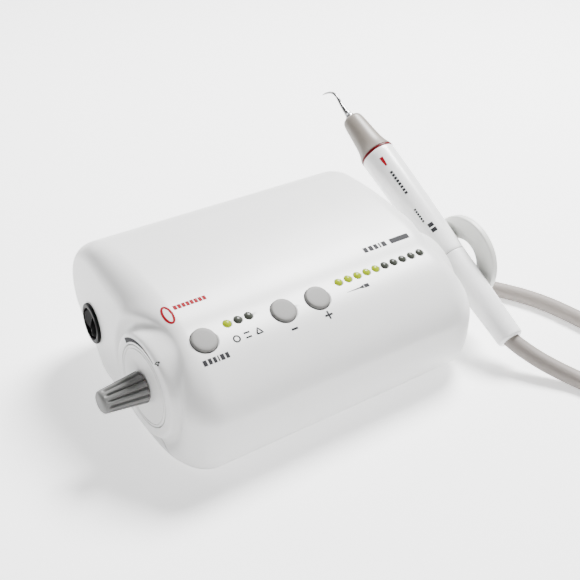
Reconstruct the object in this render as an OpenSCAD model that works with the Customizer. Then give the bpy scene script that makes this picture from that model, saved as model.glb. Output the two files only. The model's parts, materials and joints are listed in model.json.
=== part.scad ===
// Tabletop ultrasonic scaler: a rounded housing with a water knob, a rocker switch, a tilted button
// panel and a piezo handpiece that lies in a holder on the right end, on the end of its cable.
// X runs along the housing, -Y is the front, +Z is up and Z = 0 is the table.

/* [Housing] */
// Length of the body between its two end faces
body_len = 169; // [165:1:173]
// Reach of the profile in front of its middle
front_reach = 99.7; // [98:0.1:101]
// Reach of the profile behind its middle
rear_reach = 45.6; // [44:0.1:47]
// Height of the crown over the profile's middle
top_reach = 45.5; // [44.5:0.1:46.5]
// Depth of the belly under the profile's middle
low_reach = 41.5; // [40:0.5:43]
// Wall thickness of the shell
wall = 2.5; // [2:0.1:3]
// Height at which the shell meets the base plate
split_z = 8; // [7:0.5:9]
// How far the end faces fall back towards the rear
end_bow = 4; // [0:0.5:5]

/* [Front panel] */
// Diameter of each push button
button_d = 12.4; // [10:0.2:13]
// Diameter of each indicator lens
led_d = 4; // [3:0.1:4.4]
// Distance between indicators
led_pitch = 5.73; // [5:0.01:6]
// Travel of the buttons
button_travel = 0.6; // [0.3:0.1:0.6]

/* [Ends] */
// Radius of the round boss on each end
boss_r = 26; // [24:0.5:27]
// Radius of the dial plate behind the water knob
dial_r = 19.8; // [18:0.1:20]
// Length of the water knob
knob_len = 22; // [18:0.5:24]
// Radius of the water knob at its base
knob_r = 7.8; // [7:0.1:8.5]
// Number of grooves around the water knob
knob_flutes = 12; // [8:1:14]
// Radius of the rocker switch flange
switch_r = 10.6; // [10:0.1:11]

/* [Handpiece] */
// Slope of the handpiece in its holder, in degrees
grip_slope = 29.8; // [28:0.1:31]
// Outer radius of the holder's ear
ear_r = 23.6; // [22:0.1:25]
// Radius of the hole in the holder's ear
ear_hole_r = 11; // [10:0.1:12]

/* [Cable] */
// Diameter of the handpiece cable
cable_d = 8.8; // [8:0.1:9]
// Radius at the middle of the coil's turns
coil_r = 46; // [44:1:48]

/* [Hidden] */
$fn = 48;

// The origin is under the middle of the object's box, so every piece shifts to it
shift_x = -3.5;
shift_y = -7.1;

// Profile of the housing: a superellipse quarter for each corner, seen from the end
mid_y = 27;
mid_z = 34.1;
power_rear_top = 1.76;
power_front_top = 1.82;
power_front_low = 3.56;
power_rear_low = 2.08;
// Radius of the end rounding at each corner of the profile
round_rear_top = 7.6;
round_front_top = 16.4;
round_front_low = 15;
round_rear_low = 35;
profile_steps = 64;
base_z = 2.5;
bow_start_y = -67;

// Round features on the two ends
boss_y = -28.7;
boss_z = 36.2;
left_x = -86;
right_x = 85;
dial_gap = 0.3;
dial_t = 2;
stem_r = 3;
run_gap = 0.05;

// Rocker switch
switch_x = -80.3;
switch_y = 34.4;
switch_z = 35.3;
switch_turn = 4.6;
rocker_r = 7.8;
rocker_tilt = 8;

// Panel: the tangent plane at the row of buttons
panel_y = -47;
panel_u = (mid_y - panel_y) / front_reach;
panel_w = 1 - pow(panel_u, power_front_top);
panel_z = mid_z + top_reach * pow(panel_w, 1 / power_front_top);
panel_tilt = atan(top_reach / front_reach * pow(panel_u, power_front_top - 1)
    * pow(panel_w, 1 / power_front_top - 1));
button_xs = [-63.7, -21.2, -1.8];
led_row = 4.1;
mode_led_x = -49.3;
level_led_x = 13.8;
board_top = -6.4;
board_t = 1.6;

// Fasteners
post_xs = [-64, 64];
post_ys = [-50, 50];
front_post_h = 34;
foot_xs = [-48, 48];
foot_ys = [-46, 46];

// Handpiece: s runs from the connector's rear end to the tip
grip_x = 102;
grip_y = -78.5;
grip_z = 16;
seam_s = 56;
ring_s = 129.6;
nose_s = 131.2;
front_s = 158.8;
rear_grip_r = 7.1;
seam_r = 8.45;
ring_r = 10.1;

// Holder
ear_x = 111.4;
ear_t = 3.6;
ear_z = 39.5;

// Cable: straight out of the gland, down to the table, and back up into the connector
cable_z = cable_d / 2;
gland_y = 8;
gland_z = 17;
gland_end_x = 106;
coil_x = 150;
coil_y = -195;
supply_route = [[84, 8, 17], [95, 8, 17], [106, 8, 17], [114, 8, 16.4], [122, 6, 13.8],
    [130, 0, 9.8], [138, -9, 6], [145, -18, 4.5], [151, -29, 4.4], [156, -40, 4.4],
    [160, -54, 4.4], [162, -70, 4.4], [163.4, -88, 4.4], [164.8, -102, 4.4], [168.8, -115.5, 4.4],
    [175.3, -128, 4.4], [184.2, -139, 4.4], [193, -150, 4.4], [199.5, -162.5, 4.4],
    [203.5, -176, 4.4], [204.8, -190, 4.4]];
return_route = [[101, -170.4, 13.2], [105, -162.4, 11.6], [109.2, -154, 9], [113.4, -146.2, 6.6],
    [117, -136.1, 4.8], [118.2, -126, 4.4], [117.4, -118, 4.5], [115.4, -111, 5.1],
    [111.8, -103, 6.9], [108, -95, 9.4], [104.6, -86.3, 12.5], [102, -78.5, 16], [102, -75, 18]];
cable_sides = 10;

// ---------- shared shapes ----------
function sgn_pow(v, p) = sign(v) * pow(abs(v), p);
function corner_power(t) = t < 90 ? power_rear_top : t < 180 ? power_front_top
    : t < 270 ? power_front_low : power_rear_low;
function share(t, corner) = pow(max(0, cos(t - corner)), 2);
function corner_round(t) = round_rear_top * share(t, 45) + round_front_top * share(t, 135)
    + round_front_low * share(t, 225) + round_rear_low * share(t, 315);
function profile_y(t, inset) = mid_y + sgn_pow(cos(t), 2 / corner_power(t))
    * ((cos(t) > 0 ? rear_reach : front_reach) - inset);
function profile_z(t, inset) = mid_z + sgn_pow(sin(t), 2 / corner_power(t))
    * ((sin(t) > 0 ? top_reach : low_reach) - inset);
function end_x(y) = body_len / 2 - end_bow * pow((y - bow_start_y) / 100, 2);
function body_point(side, lean, t, skin) =
    let (r = max(corner_round(t) - skin, 3), inset = skin + r * (1 - cos(lean)))
    let (y = profile_y(t, inset), z = profile_z(t, inset))
    [side * (end_x(y) - skin - r * (1 - sin(lean))), y, z];
function strip(a, b, n) = [for (i = [0:n - 1]) each
    let (j = (i + 1) % n) [[a + i, b + i, b + j], [a + i, b + j, a + j]]];
function fan(hub, a, n, flip) = [for (i = [0:n - 1]) let (j = (i + 1) % n)
    flip ? [hub, a + j, a + i] : [hub, a + i, a + j]];

// The housing's outer form, or the same form a skin's thickness smaller
module body_form(skin, steps) {
    leans = [90, 67.5, 45, 22.5, 0];
    rings = [for (lean = leans) [-1, lean], for (k = [len(leans) - 1:-1:0]) [1, leans[k]]];
    points = [for (ring = rings) for (i = [0:steps - 1])
        body_point(ring[0], ring[1], i * 360 / steps, skin)];
    hub = len(points);
    hub_x = end_x(0) - skin;
    polyhedron(
        points = concat(points, [[-hub_x, 0, mid_z], [hub_x, 0, mid_z]]),
        faces = concat(
            [for (k = [0:len(rings) - 2]) each strip(k * steps, (k + 1) * steps, steps)],
            fan(hub, 0, steps, false),
            fan(hub + 1, (len(rings) - 1) * steps, steps, true)));
}

// A round tube swept along a route: one ring at each route point, square to the path
function unit(v) = v / norm(v);
function heading(path, i) = unit(path[min(i + 1, len(path) - 1)] - path[max(i - 1, 0)]);
function across(dir, guide) = unit(cross(dir, guide));
function ring_at(c, dir, guide, r, sides) =
    let (u = across(dir, guide), w = cross(dir, u))
    [for (k = [0:sides - 1]) c + r * (cos(k * 360 / sides) * u + sin(k * 360 / sides) * w)];
module swept(path, radii, sides, guide) {
    n = len(path);
    points = [for (i = [0:n - 1]) each ring_at(path[i], heading(path, i), guide, radii[i], sides)];
    polyhedron(points = points, faces = concat(
        [for (i = [0:n - 2]) each strip(i * sides, (i + 1) * sides, sides)],
        [[for (k = [0:sides - 1]) k]],
        [[for (k = [sides - 1:-1:0]) (n - 1) * sides + k]]));
}
function even(r, path) = [for (p = path) r];

module x_rod(x0, x1, y, z, r) translate([x0, y, z]) rotate([0, 90, 0]) cylinder(r = r, h = x1 - x0);
module y_rod(y0, y1, x, z, r) translate([x, y0, z]) rotate([-90, 0, 0]) cylinder(r = r, h = y1 - y0);
module z_rod(z0, z1, x, y, r) translate([x, y, z0]) cylinder(r = r, h = z1 - z0);
module box(lo, hi) translate(lo) cube(hi - lo);
module on_panel() translate([0, panel_y, panel_z]) rotate([panel_tilt, 0, 0]) children();
module on_left() translate([left_x, boss_y, boss_z]) rotate([0, 90, 0]) children();
module on_switch() translate([switch_x, switch_y, switch_z]) rotate([0, 0, -switch_turn])
    rotate([0, 90, 0]) children();
module on_grip() translate([grip_x, grip_y, grip_z]) rotate([grip_slope - 90, 0, 0]) children();
module turned(outline) rotate_extrude($fn = 64) polygon(outline);
module tube(z0, z1, r_out, r_in) turned([[r_in, z0], [r_out, z0], [r_out, z1], [r_in, z1]]);
module posts() for (x = post_xs) {
    z_rod(0, 90, x, post_ys[1], 4.5);
    z_rod(0, front_post_h, x, post_ys[0], 4.5);
    box([x - 1, -90, 0], [x + 1, post_ys[0], front_post_h]);
}
module each_post() for (x = post_xs, y = post_ys) translate([x, y, 0]) children();

module each_holder_screw() for (side = [-1, 1])
    translate([0, boss_y + side * 14.4 * sin(grip_slope), boss_z - side * 14.4 * cos(grip_slope)])
        children();
module placed() translate([shift_x, shift_y, 0]) children();

// ---------- housing ----------
pocket_x = 47;
pocket_lo_z = 13;
pocket_hi_z = 45;
panel_back_y = 60;

module upper_shell() placed() color("whitesmoke") difference() {
    union() {
        difference() {
            union() {
                body_form(0, profile_steps);
                x_rod(left_x, -70, boss_y, boss_z, boss_r);
                x_rod(70, right_x, boss_y, boss_z, boss_r);
                x_rod(70, 82.8, gland_y, gland_z, 8.6);
            }
            body_form(wall, profile_steps / 2);
        }
        intersection() {
            body_form(wall / 2, profile_steps / 2);
            union() {
                posts();
                difference() {
                    box([-pocket_x - 2, panel_back_y - 2, pocket_lo_z - 2],
                        [pocket_x + 2, 80, pocket_hi_z + 2]);
                    box([-pocket_x, 40, pocket_lo_z], [pocket_x, 90, pocket_hi_z]);
                }
            }
        }
    }
    translate([-120, -120, -20]) cube([240, 240, 20 + split_z]);
    box([-pocket_x, panel_back_y + 2, pocket_lo_z], [pocket_x, 90, pocket_hi_z]);
    each_post() z_rod(0, 26, 0, 0, 1.6);
    on_panel() {
        for (x = button_xs) translate([x, 0, -9]) cylinder(d = button_d + 0.4, h = 14);
        for (i = [0:2]) translate([mode_led_x + i * led_pitch, led_row, -9])
            cylinder(d = led_d + 0.15, h = 14);
        for (i = [0:9]) translate([level_led_x + i * led_pitch, led_row, -9])
            cylinder(d = led_d + 0.15, h = 14);
    }
    on_left() {
        translate([0, 0, -1]) cylinder(r = dial_r + dial_gap, h = 1 + dial_t);
        cylinder(r = 5.2, h = 20);
    }
    on_switch() translate([0, 0, -6]) cylinder(r = 9.5, h = 20);
    x_rod(60, 90, gland_y, gland_z, 6.7);
    each_holder_screw() x_rod(74, 90, 0, 0, 1.6);
}

module base_plate() placed() color("gainsboro") difference() {
    intersection() {
        body_form(0, profile_steps);
        box([-120, -120, base_z], [120, 120, split_z - 0.2]);
    }
    intersection() {
        body_form(wall + 0.3, profile_steps / 2);
        box([-120, -120, base_z + 2.6], [120, 120, 40]);
    }
    each_post() {
        z_rod(0, 20, 0, 0, 1.8);
        z_rod(0, base_z + 1.4, 0, 0, 3.4);
    }
    for (x = foot_xs, y = foot_ys) z_rod(0, base_z + 1, x, y, 6.1);
}

module rear_panel() placed() color("lightgray") difference() {
    box([-pocket_x + 0.2, panel_back_y, pocket_lo_z + 0.2],
        [pocket_x - 0.2, panel_back_y + 2, pocket_hi_z - 0.2]);
    y_rod(40, 80, -28, 29, 5.05);
    y_rod(40, 80, 0, 29, 5.55);
    y_rod(40, 80, 28, 29, 5.05);
}

module rubber_feet() placed() color("dimgray") for (x = foot_xs, y = foot_ys)
    translate([x, y, 0]) turned([[0, 0], [5.4, 0], [6, 0.8], [6, base_z + 0.9], [0, base_z + 0.9]]);

module case_screws() placed() color("silver") each_post() difference() {
    union() {
        z_rod(base_z - 0.9, base_z + 1.3, 0, 0, 3.2);
        z_rod(base_z + 1.2, 22, 0, 0, 1.5);
    }
    translate([0, 0, base_z - 1]) cylinder(r = 1.5, h = 1.4, $fn = 6);
}

// ---------- electronics ----------
board_z = 14;
standoffs = [[-50, -26], [44, -26], [-50, 40], [44, 40]];
module main_board() placed() color("darkgreen") difference() {
    union() {
        box([-56, -32, board_z], [50, 46, board_z + 1.6]);
        for (p = standoffs) z_rod(base_z + 2.7, board_z + 0.1, p[0], p[1], 3);
    }
    for (p = standoffs) z_rod(7, 20, p[0], p[1], 1.2);
}
module board_screws() placed() color("silver") for (p = standoffs) {
    z_rod(9, board_z + 1.7, p[0], p[1], 1.1);
    z_rod(board_z + 1.65, board_z + 3.4, p[0], p[1], 2.4);
}
module output_transformer() placed() color("khaki") {
    box([-20, 2, board_z + 1.7], [8, 28, board_z + 8]);
    box([-17, 5, board_z + 7.9], [5, 25, board_z + 20]);
    box([-20, 2, board_z + 19.9], [8, 28, board_z + 26]);
}
module filter_inductor() placed() color("peru") translate([26, 18, board_z + 1.7]) difference() {
    cylinder(r = 10, h = 9);
    translate([0, 0, -1]) cylinder(r = 4.5, h = 11);
}
module heat_sink() placed() color("dimgray") difference() {
    box([-46, -22, board_z + 1.7], [-22, -14, board_z + 20]);
    for (k = [0:4]) box([-44 + k * 4.6, -23, board_z + 6], [-41.8 + k * 4.6, -18, board_z + 21]);
}
module power_transistors() placed() color("black") for (x = [-42, -31]) {
    box([x, -13.9, board_z + 6], [x + 9, -9.4, board_z + 19]);
    for (k = [1, 4, 7]) box([x + k, -12, board_z + 1.7], [x + k + 0.8, -11.2, board_z + 6.1]);
}
module capacitors() placed() color("navy") for (p = [[-6, -12, 5], [8, -12, 5], [21, -14, 4], [38, 34, 6]])
    z_rod(board_z + 1.7, board_z + 17, p[0], p[1], p[2]);
module control_chips() placed() color("black") {
    box([-6, -28, board_z + 1.7], [6, -20, board_z + 3.4]);
    box([28, -8, board_z + 1.7], [40, 2, board_z + 3.6]);
}

// ---------- front panel ----------
module display_board() placed() color("darkgreen") on_panel() difference() {
    box([-72, -6, board_top - board_t], [69, 7.5, board_top]);
    for (x = [-55, 8], y = [-3, 5]) z_rod(-20, 0, x, y, 1.1);
}
module tact_switches() placed() color("black") on_panel() for (x = button_xs) {
    box([x - 3, -3, board_top + 0.05], [x + 3, 3, board_top + 0.9]);
    z_rod(board_top + 0.85, board_top + 1.15, x, 0, 1.4);
}
module lens(x) translate([x, led_row, 0])
    turned([[0, board_top + 0.05], [2.4, board_top + 0.05], [2.4, -4.6], [led_d / 2, -4.6],
        [led_d / 2, 0.1], [led_d / 2 - 0.5, 0.5], [0, 0.7]]);
module level_leds_lit() placed() color("yellowgreen") on_panel()
    for (i = [0:4]) lens(level_led_x + i * led_pitch);
module level_leds_unlit() placed() color("darkolivegreen") on_panel()
    for (i = [5:9]) lens(level_led_x + i * led_pitch);
module mode_led_lit() placed() color("yellowgreen") on_panel() lens(mode_led_x);
module mode_leds_unlit() placed() color("darkolivegreen") on_panel()
    for (i = [1, 2]) lens(mode_led_x + i * led_pitch);
module push_button(x) placed() color("silver") on_panel() translate([x, 0, 0])
    turned([[0, -4.6], [button_d / 2 + 1, -4.6], [button_d / 2 + 1, -4.1], [button_d / 2, -4.1], [button_d / 2, 0.9], [button_d / 2 - 0.5, 1.3], [0, 1.6]]);
module option_button() push_button(button_xs[0]);
module minus_button() push_button(button_xs[1]);
module plus_button() push_button(button_xs[2]);

// ---------- water knob and valve ----------
knob_tip_r = 5.6;
module knob_dial() placed() color("white") on_left() difference() {
    tube(0, dial_t - 0.05, dial_r, 4.2);
    translate([0, 0, -0.2]) tube(0, 0.6, dial_r - 1.2, dial_r - 1.7);
}
module water_knob() placed() color("gray") on_left() difference() {
    turned([[0, -knob_len], [knob_tip_r - 2.2, -knob_len], [knob_tip_r - 0.9, -knob_len + 0.6],
        [knob_tip_r, -knob_len + 2.2], [knob_r, -0.5], [0, -0.5]]);
    for (k = [0:knob_flutes - 1]) rotate([0, 0, k * 360 / knob_flutes])
        translate([knob_r + 0.35, 0, -2.5]) rotate([0, atan((knob_tip_r - knob_r) / knob_len) - 180, 0])
            cylinder(r = 0.9, h = knob_len);
    translate([0, 0, -12.05]) cylinder(r = stem_r, h = 20);
}
module valve_stem() placed() color("goldenrod") on_left() difference() {
    translate([0, 0, -12]) cylinder(r = stem_r, h = 27);
    tube(11, 12.6, stem_r + 1, stem_r - 0.8);
}
module stem_seal() placed() color("black") on_left() tube(11.1, 12.5, stem_r + run_gap - 0.02, stem_r - 0.78);
module valve_needle() placed() color("silver") on_left() {
    translate([0, 0, 16.2]) cylinder(r = 2.6, h = 2);
    translate([0, 0, 18.1]) cylinder(r = 1.2, h = 9);
    translate([0, 0, 27]) cylinder(r1 = 1.2, r2 = 0.3, h = 4);
}
module valve_body() placed() color("goldenrod") on_left() difference() {
    union() {
        translate([0, 0, 2.2]) cylinder(r = 5, h = 8);
        translate([-9, -9, 8.6]) cube([18, 18, 27.2]);
        translate([0, 0, 35.7]) cylinder(r = 2, h = 8);
        rotate([-90, 0, 0]) translate([0, -29, 8.9]) cylinder(r = 2, h = 8);
    }
    translate([0, 0, -1]) cylinder(r = stem_r + run_gap, h = 17.1);
    translate([0, 0, 16]) cylinder(r = 2.7, h = 6);
    translate([0, 0, 20]) cylinder(r = 1.3, h = 12.4);
    translate([0, 0, 31]) cylinder(r = 0.8, h = 20);
    rotate([-90, 0, 0]) translate([0, -29, 0]) cylinder(r = 0.8, h = 20);
}
module valve_nut() placed() color("silver") on_left() translate([0, 0, 5.4]) difference() {
    cylinder(r = 8, h = 3, $fn = 6);
    translate([0, 0, -1]) cylinder(r = 5.02, h = 5);
}

// ---------- power switch ----------
module switch_bezel() placed() color("black") on_switch() difference() {
    union() {
        turned([[0, -1.8], [switch_r - 0.9, -1.8], [switch_r, -1.1], [switch_r, -0.15], [0, -0.15]]);
        translate([0, 0, -0.2]) cylinder(r = 9.2, h = 13);
    }
    translate([0, 0, -3]) cylinder(r = rocker_r + 0.4, h = 12.8);
    rotate([0, 90, 0]) translate([-3.5, 0, -9]) cylinder(r = 0.85, h = 18);
}
module power_rocker() placed() color("darkslategray") on_switch() difference() {
    translate([0, 0, 3.5]) rotate([rocker_tilt, 0, 0]) translate([0, 0, -3.5]) intersection() {
        rotate([0, 90, 0]) linear_extrude(2 * 6.6, center = true)
            polygon([[-1, 0], [2.7, 7], [2.2, 7], [-3.6, 7], [-3.6, 3], [-6.5, 0], [-3.6, -3],
                [-3.6, -7], [2.2, -7], [2.7, -7]]);
        translate([0, 0, -8]) cylinder(r = rocker_r - 0.7, h = 16);
    }
    rotate([0, 90, 0]) translate([-3.5, 0, -9]) cylinder(r = 0.85, h = 18);
}
module rocker_pin() placed() color("silver") on_switch() rotate([0, 90, 0]) translate([-3.5, 0, -8.5])
    cylinder(r = 0.8, h = 17);
module switch_terminals() placed() color("goldenrod") on_switch()
    for (y = [-4, 4]) translate([-2.4, y - 0.4, 12.9]) cube([4.8, 0.8, 8]);

// ---------- water supply and sockets ----------
module solenoid_valve() placed() color("steelblue") difference() {
    union() {
        box([-74, 0, 30], [-54, 20, 52]);
        box([-72, 3, 22], [-56, 17, 30.1]);
        y_rod(16.9, 26, -64, 26, 2);
        x_rod(-56.1, -49, 10, 26, 2);
    }
    z_rod(25, 53, -64, 10, 3.1);
    y_rod(10, 30, -64, 26, 0.8);
    x_rod(-64, -48, 10, 26, 0.8);
}
module solenoid_plunger() placed() color("silver") z_rod(27, 48, -64, 10, 3.05);
module water_inlet() placed() color("silver") difference() {
    union() {
        y_rod(54, 59.9, -28, 29, 6.5);
        y_rod(46, 54.1, -28, 29, 2);
        y_rod(59.8, 62.4, -28, 29, 5);
        y_rod(62.3, 74, -28, 29, 2);
    }
    y_rod(45, 75, -28, 29, 1.1);
}
inlet_hose = [[-28, 45.9, 29], [-28, 42, 29], [-31, 36, 29], [-38, 33, 28], [-48, 34, 27],
    [-57, 36, 26], [-62.5, 34.5, 26], [-64, 31, 26], [-64, 26.1, 26]];
valve_hose = [[-48.9, 10, 26], [-44, 10, 26], [-37, 7, 29], [-32, 0, 34], [-29, -10, 39],
    [-28, -19, 40], [-30, -26, 38], [-36, -28.7, 36.2], [-42.2, -28.7, 36.2]];
feed_hose = [[-57, -11.7, 36.2], [-57, -8, 36.2], [-54, -5, 40], [-47, -3, 46], [-34, -2, 50],
    [0, -2, 52], [30, -1, 50], [50, 2, 42], [58, 5, 30], [61, 7, 21], [66, 8, 17], [73.4, 8, 17]];
module water_hoses() placed() color("lightblue") {
    swept(inlet_hose, even(2.6, inlet_hose), 8, [0, 0, 1]);
    swept(valve_hose, even(2.6, valve_hose), 8, [0, 0, 1]);
    swept(feed_hose, even(2.6, feed_hose), 8, [0, 1, 0.2]);
}
module pedal_jack() placed() color("black") difference() {
    union() {
        y_rod(50, 59.9, 0, 29, 7);
        y_rod(59.8, 64.5, 0, 29, 5.5);
    }
    y_rod(52.5, 65, 0, 29, 3.25);
}
module power_jack() placed() color("black") difference() {
    union() {
        y_rod(50, 59.9, 28, 29, 6.5);
        y_rod(59.8, 64, 28, 29, 5);
    }
    difference() {
        y_rod(53, 65, 28, 29, 2.9);
        y_rod(52, 63, 28, 29, 1);
    }
}

// ---------- holder ----------
module handpiece_holder() placed() color("whitesmoke") difference() {
    union() {
        x_rod(right_x + 0.05, right_x + 3, boss_y, boss_z, 20);
        intersection() {
            box([right_x + 1, -48, 14], [ear_x + 1, -10, 44]);
            on_grip() translate([-30, 2, 36]) cube([60, 16, 30]);
        }
        x_rod(ear_x, ear_x + ear_t, boss_y, ear_z, ear_r);
    }
    on_grip() translate([0, 0, 20]) cylinder(r = 9.1, h = 80);
    x_rod(ear_x - 3, ear_x + ear_t + 3, boss_y, ear_z, ear_hole_r);
    each_holder_screw() x_rod(80, 90, 0, 0, 1.8);
}
module holder_screws() placed() color("silver") each_holder_screw() {
    x_rod(77, right_x + 3.1, 0, 0, 1.5);
    x_rod(right_x + 3.05, right_x + 4.8, 0, 0, 3.1);
}

// ---------- cable ----------
module on_gland() translate([0, gland_y, gland_z]) rotate([0, 90, 0]) children();
module cable_gland() placed() color("lightgray") on_gland() difference() {
    union() {
        translate([0, 0, 73.5]) cylinder(r = 6.6, h = 9.5);
        turned([[0, 82.85], [8.2, 82.85], [8.2, 85], [7.4, 86.5], [5.8, gland_end_x - 1],
            [5.2, gland_end_x], [0, gland_end_x]]);
    }
    translate([0, 0, 70]) cylinder(r = cable_d / 2 + 0.02, h = 40);
    for (k = [0:3]) translate([0, 0, 89.5 + 4 * k]) tube(0, 1.2, 9, 6.9 - 0.35 * k);
}
module gland_nut() placed() color("silver") on_gland() translate([0, 0, 74.8]) difference() {
    cylinder(r = 8.4, h = 2.6, $fn = 6);
    translate([0, 0, -1]) cylinder(r = 6.65, h = 5);
}
module cable_supply_run() placed() color("tan")
    swept(supply_route, even(cable_d / 2, supply_route), cable_sides, [0, 0, 1]);
module cable_return_run() placed() color("tan")
    swept(return_route, even(cable_d / 2, return_route), cable_sides, [1, 0, 0]);
module cable_coil() placed() color("tan") translate([coil_x, coil_y, 0])
    turned([[coil_r - 13.2, 0], [coil_r + 13.2, 0], [coil_r + 13.2, 17.6], [coil_r - 13.2, 17.6]]);
module cable_tie() placed() color("gray") translate([coil_x, coil_y - coil_r, 0]) difference() {
    box([-5, -14.6, 0], [5, 14.6, 19]);
    box([-6, -13.3, -1], [6, 13.3, 17.7]);
}

// ---------- connector and handpiece ----------
function grip_r(s) = s < seam_s ? rear_grip_r + (seam_r - rear_grip_r) * s / seam_s
    : seam_r + (ring_r - seam_r) * sin(90 * (s - seam_s) / (ring_s - seam_s));
module connector_shell() placed() color("white") on_grip() turned([[cable_d / 2 + 0.05, 0],
    [rear_grip_r - 0.8, 0], [rear_grip_r, 0.9], [seam_r, seam_s - 0.2], [5.2, seam_s - 0.2],
    [5.2, 6], [cable_d / 2 + 0.05, 6]]);
module connector_plug() placed() color("dimgray") on_grip() difference() {
    union() {
        translate([0, 0, 6.1]) cylinder(r = 5.1, h = 50);
        translate([0, 0, 56]) cylinder(r = 5.6, h = 11);
    }
    for (s = [58, 62.5]) translate([0, 0, s]) tube(0, 1.9, 7, 4.6);
    for (k = [0:3]) rotate([0, 0, 45 + 90 * k]) translate([2.6, 0, 50]) cylinder(r = 0.62, h = 20);
}
module plug_seals() placed() color("black") on_grip() for (s = [58.1, 62.6]) translate([0, 0, s])
    tube(0, 1.7, 5.95, 4.65);
module contact_pins() placed() color("gold") on_grip() for (k = [0:3]) rotate([0, 0, 45 + 90 * k])
    translate([2.6, 0, 50.1]) cylinder(r = 0.6, h = 21);
module handpiece_sleeve() placed() color("white") on_grip() turned(concat(
    [[6, seam_s + 0.1]], [for (k = [0:8]) let (s = seam_s + 0.1 + (ring_s - seam_s - 0.1) * k / 8)
        [grip_r(s), s]],
    [[7.6, ring_s], [7.6, 74], [6, 74]]));
module accent_ring() placed() color("firebrick") on_grip()
    tube(ring_s + 0.05, nose_s - 0.05, ring_r + 0.05, 7.6);
module nose_cone() placed() color("rosybrown") on_grip() turned([[7.6, nose_s], [ring_r, nose_s],
    [9.6, 133], [8.9, 136], [8.1, 140], [7.4, 145], [6.8, 150], [6.3, 154.6], [5.9, 157],
    [5.2, 158.3], [4.4, front_s], [3.9, front_s], [3.9, 152], [6, 144], [7.2, 136]]);
module light_ring() placed() color("aliceblue", 0.6) on_grip() tube(152.2, front_s - 0.1, 3.85, 2.9);
module lamp_board() placed() color("darkgreen") on_grip() tube(138, 139.6, 6.5, 4);
module horn() placed() color("silver") on_grip() turned([[0, 112.1], [7.58, 112.1], [7.58, 115], [5, 118],
    [3.6, 130], [2.7, 140], [2.5, 157], [2.5, 161], [1.9, 162.2], [1.9, 163.4], [0, 163.4]]);
module piezo_stack() placed() color("ivory") on_grip() for (k = [0:3])
    tube(96.1 + 4 * k, 99.9 + 4 * k, 6.2, 2.6);
module back_mass() placed() color("silver") on_grip() {
    translate([0, 0, 82]) cylinder(r = 6.2, h = 14);
    translate([0, 0, 95.9]) cylinder(r = 2.3, h = 16.1);
}
// The tip: a straight tapering shank that bends down at its end
tip_path = [[0, 0, 163.5], [0, 0, 167], [0, -0.3, 171], [0, -0.9, 174], [0, -0.8, 176.8],
    [0, 0.1, 179.4], [0, 1.7, 181.4], [0, 3.8, 183.1], [0, 6.1, 184.7], [0, 8.3, 185.8]];
tip_radii = [1.7, 1.3, 1, 0.85, 0.78, 0.72, 0.65, 0.56, 0.45, 0.25];
module scaler_tip() placed() color("silver") on_grip() swept(tip_path, tip_radii, 12, [1, 0, 0]);

upper_shell();
base_plate();
rear_panel();
rubber_feet();
case_screws();
main_board();
board_screws();
output_transformer();
filter_inductor();
heat_sink();
power_transistors();
capacitors();
control_chips();
display_board();
tact_switches();
level_leds_lit();
level_leds_unlit();
mode_led_lit();
mode_leds_unlit();
option_button();
minus_button();
plus_button();
knob_dial();
water_knob();
valve_stem();
valve_needle();
valve_body();
valve_nut();
stem_seal();
switch_bezel();
power_rocker();
rocker_pin();
switch_terminals();
solenoid_valve();
solenoid_plunger();
water_inlet();
water_hoses();
pedal_jack();
power_jack();
handpiece_holder();
holder_screws();
cable_gland();
gland_nut();
cable_supply_run();
cable_coil();
cable_tie();
cable_return_run();
connector_shell();
connector_plug();
plug_seals();
contact_pins();
handpiece_sleeve();
accent_ring();
nose_cone();
light_ring();
lamp_board();
horn();
piezo_stack();
back_mass();
scaler_tip();
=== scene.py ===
"""Looks of a tabletop ultrasonic scaler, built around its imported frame."""
import json
import math

import bmesh
import bpy
from mathutils import Matrix, Vector
from mathutils.bvhtree import BVHTree


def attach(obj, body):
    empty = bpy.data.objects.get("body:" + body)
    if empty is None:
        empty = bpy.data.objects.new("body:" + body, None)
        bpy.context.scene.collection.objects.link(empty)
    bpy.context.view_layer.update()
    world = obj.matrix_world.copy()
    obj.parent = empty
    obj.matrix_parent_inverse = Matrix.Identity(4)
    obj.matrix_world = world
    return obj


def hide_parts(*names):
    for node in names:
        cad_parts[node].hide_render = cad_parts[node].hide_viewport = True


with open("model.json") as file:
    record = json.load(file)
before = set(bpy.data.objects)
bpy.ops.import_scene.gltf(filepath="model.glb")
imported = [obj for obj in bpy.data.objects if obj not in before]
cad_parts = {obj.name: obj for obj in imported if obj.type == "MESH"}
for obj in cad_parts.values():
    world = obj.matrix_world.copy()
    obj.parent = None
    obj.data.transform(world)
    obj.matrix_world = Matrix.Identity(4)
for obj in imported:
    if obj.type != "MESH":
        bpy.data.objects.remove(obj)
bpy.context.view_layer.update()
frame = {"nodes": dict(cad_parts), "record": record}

# Design coordinates are millimetres: +X along the housing, -Y its front, Z = 0 the table.
# The frame's origin lies under the middle of the object, its coiled cable left out.
SHIFT = Vector((-3.5, -7.1, 0))
MM = 0.001


def metres(point):
    """A design point in the frame, in metres."""
    return (Vector(point) + SHIFT) * MM


# ---------- camera ----------
def add_camera():
    data = bpy.data.cameras.new("camera")
    data.sensor_width = 36
    data.lens = 61.9
    data.clip_start = 0.01
    data.clip_end = 20
    camera = bpy.data.objects.new("camera", data)
    bpy.context.scene.collection.objects.link(camera)
    right = Vector((0.81393, -0.58097, 0))
    up = Vector((0.29630, 0.41511, 0.86017))
    back = Vector((-0.49973, -0.70012, 0.51001))
    turn = Matrix((right, up, back)).transposed().to_4x4()
    camera.matrix_world = Matrix.Translation(metres((-244.6, -365.2, 303.9))) @ turn
    bpy.context.scene.camera = camera


add_camera()

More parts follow.
